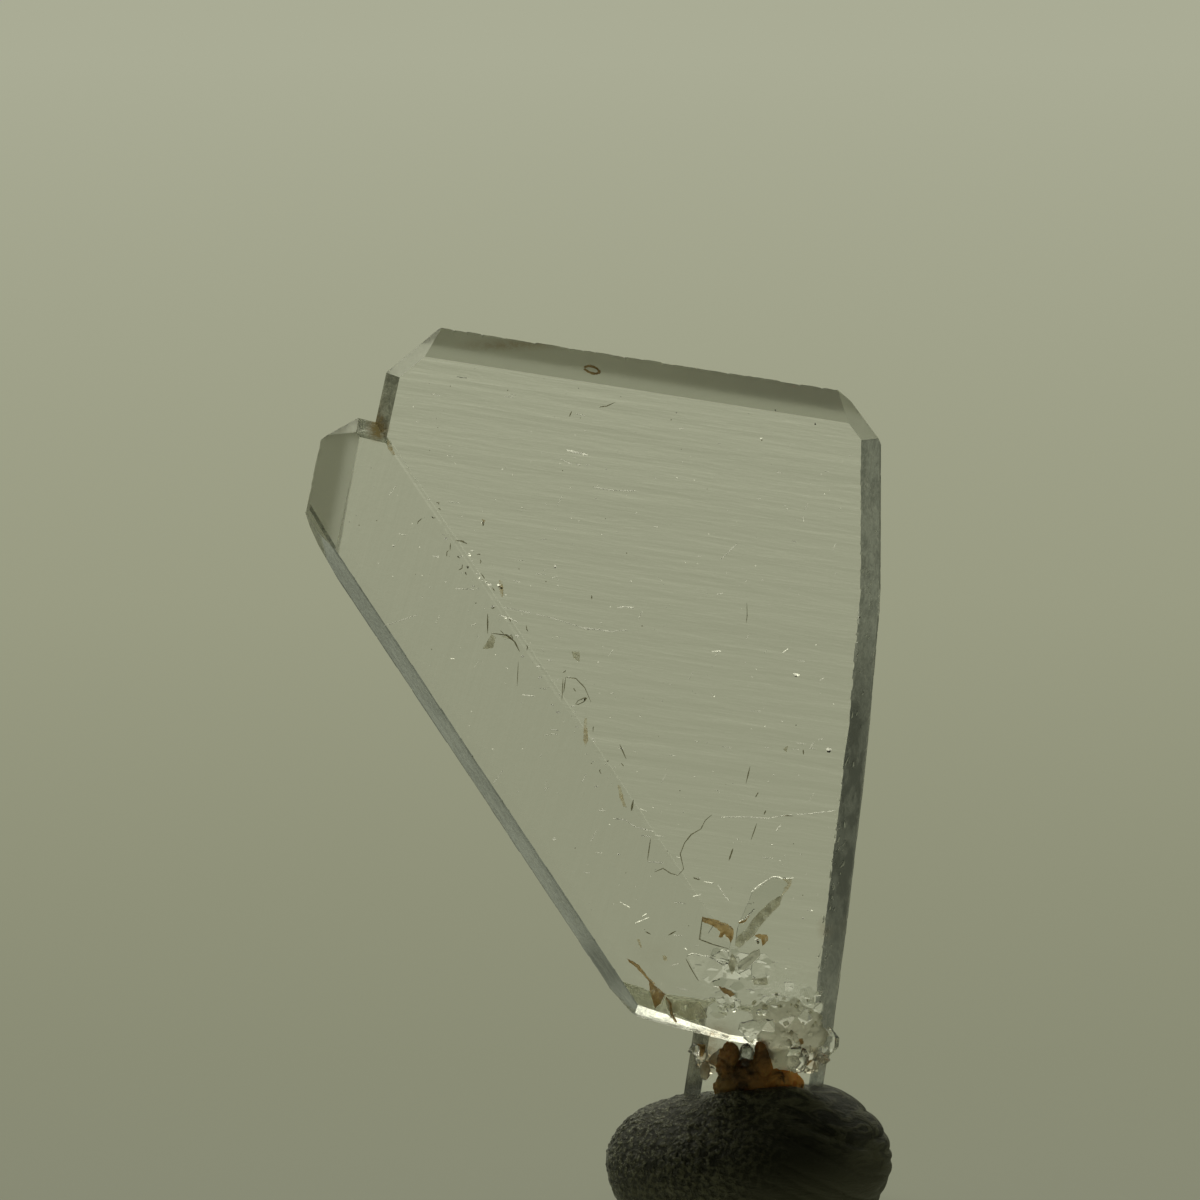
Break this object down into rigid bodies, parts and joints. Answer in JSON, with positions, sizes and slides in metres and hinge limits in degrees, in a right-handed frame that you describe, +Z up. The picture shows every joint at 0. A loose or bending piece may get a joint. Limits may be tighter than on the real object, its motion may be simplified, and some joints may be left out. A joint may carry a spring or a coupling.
{
  "type": "japan law twin quartz specimen",
  "caption": "Clear quartz plate twinned on the Japan law, with a beak-like shorter individual, root crystals and rusty clay at its foot, held upright in a pressed lump of grey tack.",
  "frame": {"origin": "middle of the tack's flat underside", "axes": "+Z up, +X to the right along the plate seen from its front face, +Y through the plate towards its back"},
  "size_m": [0.0187, 0.0077, 0.0286],
  "materials": {
    "quartz": "clear, finely striated",
    "iron_clay": "matt, earthy",
    "putty": "matt, grainy"
  },
  "bodies": {
    "root": {"japan_law_twin": "quartz", "iron_clay": "iron_clay", "putty": "putty"}
  },
  "joints": []
}
